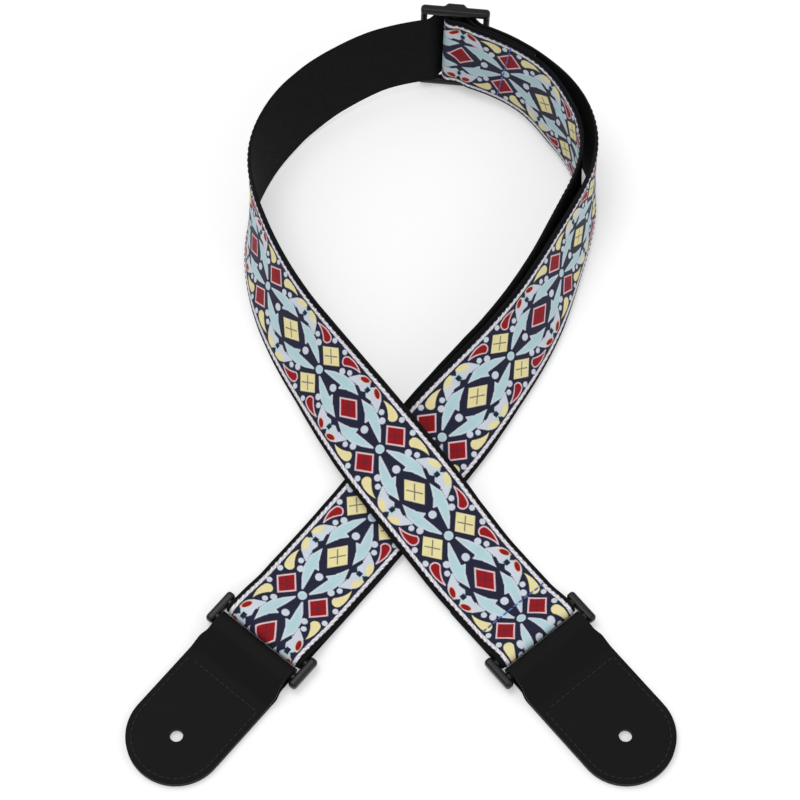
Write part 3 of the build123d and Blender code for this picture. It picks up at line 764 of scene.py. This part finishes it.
# %% Colours of the motifs
two_tone = paint(pattern, RED, YELLOW, pair_yellow)
centre_tone = paint(pattern, RED, YELLOW, centre_yellow)
drop_tone = paint(pattern, YELLOW, RED, pair_yellow)
leaf_tone = paint(pattern, AQUA, PALE, inside(leaf * -1.0 - 0.9, soft=0.5))
fan_tone = paint(pattern, AQUA, PALE, inside(abs(a - 23.0) - 5.5, soft=1.5))
petal_edge = paint(pattern, YELLOW, PINK, inside(abs(petal) - 0.3) * (1.0 - centre_yellow))
petal_tone = paint(pattern, petal_edge, RED, inside(petal + 0.45) * (1.0 - centre_yellow))
face_colour = paint(pattern, NAVY, fan_tone, inside(fan))
face_colour = paint(pattern, face_colour, petal_tone, inside(petal.most(b - 20.0)))
face_colour = paint(pattern, face_colour, leaf_tone, inside(leaf))
face_colour = paint(pattern, face_colour, NAVY, inside(disc(a, b, 14.3, 0.0, 3.2)))
stem = (abs(a - QUARTER) - 0.5).most(b - 15.0).most(8.0 - b)
branch = taper(a, b, (QUARTER, 9.9, 0.6), (23.8, 12.0, 0.7), bow=-0.4)
square = abs(a - QUARTER).most(abs(b - 15.2)) - 1.4
face_colour = paint(pattern, face_colour, NAVY, inside(stem.least(branch).least(square)))
face_colour = paint(pattern, face_colour, PALE, inside(rounds))
face_colour = paint(pattern, face_colour, AQUA, inside(disc(a, b, 0.0, 0.0, 1.9), soft=0.4))
drop_outline = inside(drop - 0.3) * pair_yellow
face_colour = paint(pattern, face_colour, PINK, drop_outline)
face_colour = paint(pattern, face_colour, drop_tone, inside(drop + pair_yellow * 0.45))

# %% The lozenges: red ones have a pink outline, and all have a dark cross
PINK_EDGE, CROSS_WIDTH, CROSS_MARGIN = 0.85, 0.34, 1.0


def lozenge_cross(x, y, half_x, half_y, width):
    """The two lines that join the middles of opposite sides."""
    size = np.hypot(half_x, half_y) / (half_x * half_y)
    one = abs(x * (1 / half_x) + y * (1 / half_y)) * (1 / size)
    two = abs(x * (1 / half_x) - y * (1 / half_y)) * (1 / size)
    return inside(one.least(two) - width, soft=0.12)


def add_lozenge(under, distance, tone, yellow, x, y, half_x, half_y):
    outline = inside(distance) * (1.0 - yellow)
    result = paint(pattern, under, PINK, outline)
    result = paint(pattern, result, tone, inside(distance + (1.0 - yellow) * PINK_EDGE))
    cross = lozenge_cross(x, y, half_x, half_y, CROSS_WIDTH) * inside(distance + CROSS_MARGIN)
    return paint(pattern, result, NAVY, cross * (yellow * 0.25 + 0.55))


face_colour = add_lozenge(face_colour, pair, two_tone, pair_yellow, a, b - PAIR_AT, *PAIR)
face_colour = add_lozenge(face_colour, centre, centre_tone, centre_yellow, a - QUARTER, b, *CENTRE)

# %% The rope along each edge, and the lie of the threads
ROPE_AT, ROPE_HALF, ROPE_PITCH, ROPE_SLANT = 21.95, 1.0, 3.9, 0.42
TWILL_PITCH, TWILL_SLANT = 0.75, 0.8
rope = abs(b - ROPE_AT) - ROPE_HALF
strand = ((stepped * (1 / ROPE_PITCH)) + (b - ROPE_AT) * ROPE_SLANT).math("FRACT")
strand_shade = inside(abs(strand - 0.5) - 0.12, soft=0.14)
rope_tone = paint(pattern, colour(255, 253, 255), colour(206, 200, 224), strand_shade)
slit = inside(abs(strand - 0.82) - 0.05, soft=0.04) * inside(abs(b - ROPE_AT) * -1.0 + 0.35, soft=0.2)
rope_tone = paint(pattern, rope_tone, NAVY, slit)
face_colour = paint(pattern, face_colour, rope_tone, inside(rope))
motifs = leaf.least(fan).least(rounds).least(drop).least(pair).least(centre).least(rope)
raised = inside(motifs, soft=0.25)
float_line = abs((along_in * (np.pi / THREAD_ALONG)).math("SINE"))
twill = abs(((along_in + side_in * TWILL_SLANT) * (np.pi / TWILL_PITCH)).math("SINE"))
# The tone is painted shade: the raised floats are lighter along their middles and darker between them, and
# the flat twill ground is darker in its grooves.
relief = raised * (float_line * 0.35 + 0.65) + (1.0 - raised) * twill * 0.3
tone = raised * (float_line * 0.16 + 0.90) + (1.0 - raised) * (twill * 0.35 + 0.75)
shade = pattern.nodes.new("ShaderNodeVectorMath")
shade.operation = "SCALE"
pattern.links.new(face_colour, shade.inputs[0])
pattern.links.new(tone.socket, shade.inputs["Scale"])
pattern.links.new(shade.outputs[0], end.inputs["Color"])
pattern.links.new(relief.socket, end.inputs["Raised"])
print("whole pattern:", len(pattern.nodes), "nodes")

# %% [markdown]
# ## Effects that several materials share
# Cloth, leather and moulded plastic all have two things in common: their tone wanders a little from
# place to place, and their surface has a small relief. One group gives all of them the wandering
# tone, one gives the webbing its basket weave, and one gives the leather its pebbles. The last two
# also give painted shade, darker in the hollows of the weave and in the creases between the pebbles.

# %% Shared groups: uneven tone, basket weave, leather pebbles
uneven_inputs = [("Vector", "Vector", None), ("Scale", "Float", 60.0), ("Amount", "Float", 0.2)]
uneven, wires, end = new_group("Uneven tone", uneven_inputs, [("Tone", "Float")])
noise = uneven.nodes.new("ShaderNodeTexNoise")
noise.inputs["Detail"].default_value = 4
uneven.links.new(wires["Vector"].socket, noise.inputs["Vector"])
uneven.links.new(wires["Scale"].socket, noise.inputs["Scale"])
wander_wire = (Wire(uneven, noise.outputs[0]) - 0.5) * 2.0
uneven.links.new((wander_wire * wires["Amount"] + 1.0).socket, end.inputs["Tone"])

STRAND_PITCH = 0.36
weave_inputs = [("Along", "Float", 0.0), ("Sideways", "Float", 0.0),
                ("Pitch along", "Float", 1.1), ("Pitch across", "Float", 1.5)]
weave, wires, end = new_group("Basket weave", weave_inputs, [("Height", "Float"), ("Weave shade", "Float")])
u = wires["Along"].math("DIVIDE", wires["Pitch along"])
v = wires["Sideways"].math("DIVIDE", wires["Pitch across"]) + u.math("FLOOR") * 0.5
bulge = abs((u * np.pi).math("SINE")) * abs((v * np.pi).math("SINE"))
strands = abs((wires["Sideways"] * (np.pi / STRAND_PITCH)).math("SINE"))
weave.links.new((bulge * 0.8 + strands * 0.2).socket, end.inputs["Height"])
# The second output is painted shade: light on the crowns of the weave and on each strand, dark in the
# hollows between them.
weave.links.new((bulge * 0.6 + strands * 0.4).socket, end.inputs["Weave shade"])

pebbles, wires, end = new_group("Leather pebbles", [("Vector", "Vector", None), ("Scale", "Float", 900.0)],
                                [("Height", "Float"), ("Crease shade", "Float")])
cells = pebbles.nodes.new("ShaderNodeTexVoronoi")
cells.feature = "DISTANCE_TO_EDGE"
fine = pebbles.nodes.new("ShaderNodeTexNoise")
fine.inputs["Detail"].default_value = 3
for node in (cells, fine):
    pebbles.links.new(wires["Vector"].socket, node.inputs["Vector"])
    pebbles.links.new(wires["Scale"].socket, node.inputs["Scale"])
edge_wire = Wire(pebbles, cells.outputs["Distance"]).math("MULTIPLY", 3.0, clamp=True)
pebbles.links.new((edge_wire * 0.75 + Wire(pebbles, fine.outputs[0]) * 0.25).socket, end.inputs["Height"])
# Crease shade is painted shade: 1 in the creases between the pebbles and 0 on their tops.
pebbles.links.new((1.0 - edge_wire).socket, end.inputs["Crease shade"])
print("shared groups:", uneven.name, "/", weave.name, "/", pebbles.name)


# %% A start for every material
class Finish:
    """A material with one Principled shader, and short ways to wire it."""

    def __init__(self, name, roughness, specular=0.4):
        self.material = bpy.data.materials.new(name)
        self.material.use_nodes = True
        self.tree = self.material.node_tree
        self.shader = self.tree.nodes["Principled BSDF"]
        self.shader.inputs["Roughness"].default_value = roughness
        self.shader.inputs["Specular IOR Level"].default_value = specular

    def node(self, kind):
        return self.tree.nodes.new(f"ShaderNode{kind}")

    def group(self, tree, **values):
        node = self.node("Group")
        node.node_tree = tree
        for label, value in values.items():
            socket = node.inputs[label.replace("_", " ")]
            if isinstance(value, bpy.types.NodeSocket):
                self.tree.links.new(value, socket)
            else:
                socket.default_value = value
        return node

    def wire(self, socket):
        return Wire(self.tree, socket)

    def lay(self):
        """The piece's stored places along and across the band, turned into millimetres."""
        uv = self.node("UVMap")
        uv.uv_map = "lay"
        split = self.node("SeparateXYZ")
        self.tree.links.new(uv.outputs[0], split.inputs[0])
        return self.wire(split.outputs[0]) * 1000.0, self.wire(split.outputs[1]) * 1000.0

    def place(self):
        """The piece's own coordinates, in metres."""
        return self.node("TexCoord").outputs["Object"]

    def base(self, value, tone):
        scale = self.node("VectorMath")
        scale.operation = "SCALE"
        if isinstance(value, tuple):
            scale.inputs[0].default_value = value[:3]
        else:
            self.tree.links.new(value, scale.inputs[0])
        self.tree.links.new(tone.socket, scale.inputs["Scale"])
        self.tree.links.new(scale.outputs[0], self.shader.inputs["Base Color"])

    def bump(self, height, distance, strength=1.0):
        bump = self.node("Bump")
        bump.inputs["Distance"].default_value = distance
        bump.inputs["Strength"].default_value = strength
        self.tree.links.new(height.socket, bump.inputs["Height"])
        self.tree.links.new(bump.outputs[0], self.shader.inputs["Normal"])

    def on(self, *pieces):
        for piece in pieces:
            piece.data.materials.clear()
            piece.data.materials.append(self.material)


# %% [markdown]
# ## The cloths
# The ribbon takes its colour from the pattern, painted shade between its threads included, through the
# woven ruler that its UV map holds.
# The webbing under it is plain black, with a basket weave coarse enough to see at its edges and back, and
# painted shade that darkens the hollows of that weave.

# %% Ribbon and webbing
woven = Finish("jacquard_ribbon", roughness=0.72, specular=0.25)
along_mm, side_mm = woven.lay()
art = woven.group(pattern, Along=along_mm.socket, Sideways=side_mm.socket)
patchy = woven.group(uneven, Vector=woven.place(), Scale=160.0, Amount=0.10)
woven.base(art.outputs["Color"], woven.wire(patchy.outputs["Tone"]))
woven.shader.inputs["Sheen Weight"].default_value = 0.08
woven.bump(woven.wire(art.outputs["Raised"]), distance=0.00022, strength=0.7)
woven.on(ribbon)

black_web = Finish("black_webbing", roughness=0.8, specular=0.12)
along_mm, side_mm = black_web.lay()
basket = black_web.group(weave, Along=along_mm.socket, Sideways=side_mm.socket)
patchy = black_web.group(uneven, Vector=black_web.place(), Scale=220.0, Amount=0.25)
# Painted shade: the black is lighter on the crowns of the weave and darker in its hollows, under a random
# tone.
weave_shade = black_web.wire(basket.outputs["Weave shade"]) * 0.7 + 0.6
black_web.base(colour(21, 21, 23), weave_shade * black_web.wire(patchy.outputs["Tone"]))
black_web.bump(black_web.wire(basket.outputs["Height"]), distance=0.0003, strength=0.8)
black_web.on(webbing)

# %% [markdown]
# ## Leather, plastic and thread
# The tabs are a finely pebbled black leather with almost no shine, with painted shade in the creases
# between the pebbles. The rings and the slider are moulded in a satin black plastic. The threads are
# twisted, so a slanted stripe runs round each: a bump, and painted shade darker in the twist's grooves.

# %% Leather
hide = Finish("black_leather", roughness=0.6, specular=0.14)
grain = hide.group(pebbles, Vector=hide.place(), Scale=1300.0)
patchy = hide.group(uneven, Vector=hide.place(), Scale=70.0, Amount=0.22)
# Painted shade: the leather is darker in the creases between its pebbles.
crease_shade = hide.wire(grain.outputs["Crease shade"]) * -0.35 + 1.05
hide.base(colour(15, 15, 16), crease_shade * hide.wire(patchy.outputs["Tone"]))
hide.bump(hide.wire(grain.outputs["Height"]), distance=0.00012, strength=0.6)
hide.on(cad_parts["right_tab_leather"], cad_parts["left_tab_leather"])

# %% Moulded plastic
MOULDING_ROUGHNESS = 0.34
moulded = Finish("black_moulding", roughness=0.38, specular=0.34)
patchy = moulded.group(uneven, Vector=moulded.place(), Scale=420.0, Amount=0.15)
fine_bump = moulded.group(uneven, Vector=moulded.place(), Scale=2500.0, Amount=0.5)
moulded.base(colour(20, 20, 21), moulded.wire(patchy.outputs["Tone"]))
# The wandering tone steers the roughness too, so this wire overrides the shader's own value.
satin = moulded.wire(patchy.outputs["Tone"]) * MOULDING_ROUGHNESS
moulded.tree.links.new(satin.socket, moulded.shader.inputs["Roughness"])
moulded.bump(moulded.wire(fine_bump.outputs["Tone"]), distance=0.00004, strength=0.5)
moulded.on(*(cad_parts[n] for n in ("right_ring", "left_ring", "triglide_slider")))


# %% Threads
TWIST_PITCH = 0.0005  # in metres


def thread_finish(name, shown):
    thread = Finish(name, roughness=0.55, specular=0.4)
    split = thread.node("SeparateXYZ")
    thread.tree.links.new(thread.place(), split.inputs[0])
    x, y, z = (thread.wire(o) for o in split.outputs)
    twist = abs(((x + y * 0.7 + z * 1.3) * (np.pi / TWIST_PITCH)).math("SINE"))
    # Painted shade: each thread is darker in the grooves of its twist and lighter on the plies.
    thread.base(shown, twist * 0.5 + 0.7)
    thread.bump(twist, distance=0.0001, strength=0.6)
    return thread


blue = thread_finish("blue_thread", colour(104, 120, 196))
blue.on(right_row, slider_row)
black = thread_finish("black_thread", colour(30, 30, 36))
tab_rows = [f"{hand}_tab_{row}_thread" for hand in ("right", "left") for row in ("edge", "cross")]
black.on(edge_thread, *(bpy.data.objects[name] for name in tab_rows))
print("materials:", sorted(m.name for m in bpy.data.materials if m.users))

# %% [markdown]
# ## Floor, light and camera
# The strap lies on a flat white floor under broad soft light. The floor glows a little towards the
# camera and in reflections only, so it reads as white without throwing extra light on the strap.

# %% Floor
def flat_square(name, half, z):
    mesh = bpy.data.meshes.new(name)
    corners = [(-half, -half, z), (half, -half, z), (half, half, z), (-half, half, z)]
    mesh.from_pydata(corners, [], [(0, 1, 2, 3)])
    square = bpy.data.objects.new(name, mesh)
    bpy.context.scene.collection.objects.link(square)
    return square


FLOOR_HALF, FLOOR_LEVEL, FLOOR_GLOW = 6.0, -0.0004, 0.34
floor = flat_square("floor", FLOOR_HALF, FLOOR_LEVEL)
white = Finish("white_floor", roughness=0.9, specular=0.0)
white.shader.inputs["Base Color"].default_value = (0.86, 0.86, 0.865, 1)
rays = white.node("LightPath")
seen = white.wire(rays.outputs["Is Camera Ray"])
for ray in ("Is Glossy Ray", "Is Transmission Ray"):
    seen = seen.most(white.wire(rays.outputs[ray]))
glow = white.node("Emission")
white.tree.links.new((seen * FLOOR_GLOW).socket, glow.inputs["Strength"])
both = white.node("AddShader")
white.tree.links.new(white.shader.outputs[0], both.inputs[0])
white.tree.links.new(glow.outputs[0], both.inputs[1])
white.tree.links.new(both.outputs[0], white.tree.nodes["Material Output"].inputs[0])
white.on(floor)

# %% Light
ROOM_LIGHT = 0.55
world = bpy.data.worlds.new("studio")
world.use_nodes = True
world.node_tree.nodes["Background"].inputs["Color"].default_value = (1, 1, 1, 1)
world.node_tree.nodes["Background"].inputs["Strength"].default_value = ROOM_LIGHT
bpy.context.scene.world = world


def soft_box(name, place, aim, size, power):
    lamp = bpy.data.lights.new(name, "AREA")
    lamp.shape, lamp.size, lamp.energy = "DISK", size, power
    holder = bpy.data.objects.new(name, lamp)
    holder.location = place
    holder.rotation_mode = "QUATERNION"
    direction = np.array(aim, float) - place
    holder.rotation_quaternion = Vector(direction).to_track_quat("-Z", "Y")
    bpy.context.scene.collection.objects.link(holder)
    return holder


soft_box("over_head", (-0.5, 0.35, 1.9), (0, 0, 0), size=1.1, power=11.0)
soft_box("right_fill", (1.4, -0.7, 1.3), (0, 0, 0), size=1.2, power=4.0)

# %% Camera
CAMERA_ELEVATION, CAMERA_DISTANCE, LENS = 66.0, 1.737, 143.9
aim = shift / 1000
elevation = np.radians(CAMERA_ELEVATION)
camera = bpy.data.objects.new("camera", bpy.data.cameras.new("camera"))
camera.data.lens, camera.data.sensor_width = LENS, 36.0
camera.data.clip_start, camera.data.clip_end = 0.05, 30
camera.location = aim + CAMERA_DISTANCE * np.array([0, -np.cos(elevation), np.sin(elevation)])
camera.rotation_euler = (np.pi / 2 - elevation, 0, 0)
bpy.context.scene.collection.objects.link(camera)
bpy.context.scene.camera = camera
bpy.context.scene.view_settings.view_transform = "Standard"
print("camera", [round(v, 3) for v in camera.location])
